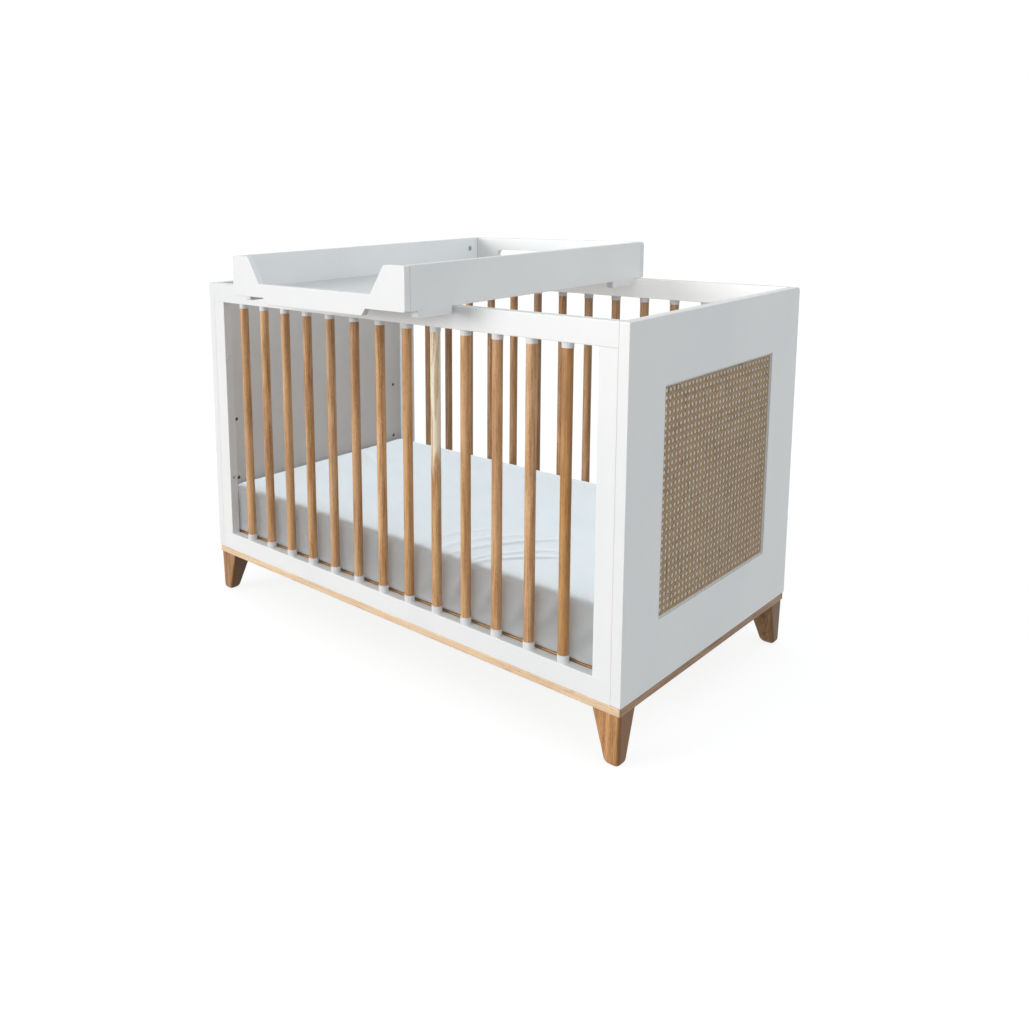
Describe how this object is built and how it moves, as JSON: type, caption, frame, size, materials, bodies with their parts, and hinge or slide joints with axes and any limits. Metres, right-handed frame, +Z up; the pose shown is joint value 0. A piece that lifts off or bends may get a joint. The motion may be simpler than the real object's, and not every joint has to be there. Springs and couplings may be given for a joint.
{
  "type": "baby crib with changing tray",
  "caption": "Slatted-side baby crib with solid end panels, cane insets, height-adjustable mattress base and a changing tray that slides along its top rails.",
  "frame": {"origin": "on the floor, under the middle of the box around the whole object with the tray at rest", "axes": "+X along the crib to the right seen from the front, +Y from the front to the back, +Z up"},
  "size_m": [1.256, 0.903, 0.952],
  "materials": {
    "white_lacquer": "white satin lacquer on board",
    "oak": "oiled oak",
    "foot_wood": "oiled darker wood",
    "cane": "natural cane",
    "steel": "zinc-plated",
    "ferrule_plastic": "white moulded, finely ribbed",
    "sheet": "pale blue-white cotton jersey"
  },
  "bodies": {
    "crib": {"end_panel_left": "white_lacquer", "end_panel_right": "white_lacquer", "front_top_rail": "white_lacquer", "front_bottom_rail": "white_lacquer", "front_left_stile": "white_lacquer", "front_right_stile": "white_lacquer", "back_top_rail": "white_lacquer", "back_bottom_rail": "white_lacquer", "back_left_stile": "white_lacquer", "back_right_stile": "white_lacquer", "cane_left": "cane", "cane_right": "cane", "front_spindle_1": "oak", "front_spindle_2": "oak", "front_spindle_3": "oak", "front_spindle_4": "oak", "front_spindle_5": "oak", "front_spindle_6": "oak", "front_spindle_7": "oak", "front_spindle_8": "oak", "front_spindle_9": "oak", "front_spindle_10": "oak", "front_spindle_11": "oak", "front_spindle_12": "oak", "front_spindle_13": "oak", "back_spindle_1": "oak", "back_spindle_2": "oak", "back_spindle_3": "oak", "back_spindle_4": "oak", "back_spindle_5": "oak", "back_spindle_6": "oak", "back_spindle_7": "oak", "back_spindle_8": "oak", "back_spindle_9": "oak", "back_spindle_10": "oak", "back_spindle_11": "oak", "back_spindle_12": "oak", "back_spindle_13": "oak", "ferrules": "ferrule_plastic", "frame_bolts": "steel", "threaded_inserts": "steel", "base_pins": "steel", "foot_studs": "steel", "plinth_sides": "oak", "plinth_ends": "oak", "foot_front_left": "foot_wood", "foot_front_right": "foot_wood", "foot_back_left": "foot_wood", "foot_back_right": "foot_wood"},
    "base": {"base_side_rails": "oak", "base_end_rails": "oak", "base_slats": "oak", "mattress": "sheet"},
    "tray": {"tray_front": "white_lacquer", "tray_back": "white_lacquer", "tray_left": "white_lacquer", "tray_right": "white_lacquer", "tray_floor": "white_lacquer", "tray_cams": "steel", "tray_dowels": "oak"}
  },
  "joints": [
    {"name": "base_height", "type": "slide", "parent": "crib", "child": "base", "axis": [0, 0, 1], "range_m": [0, 0.334]},
    {"name": "tray_slide", "type": "slide", "parent": "crib", "child": "tray", "axis": [1, 0, 0], "range_m": [-0.28, 0.37]}
  ]
}
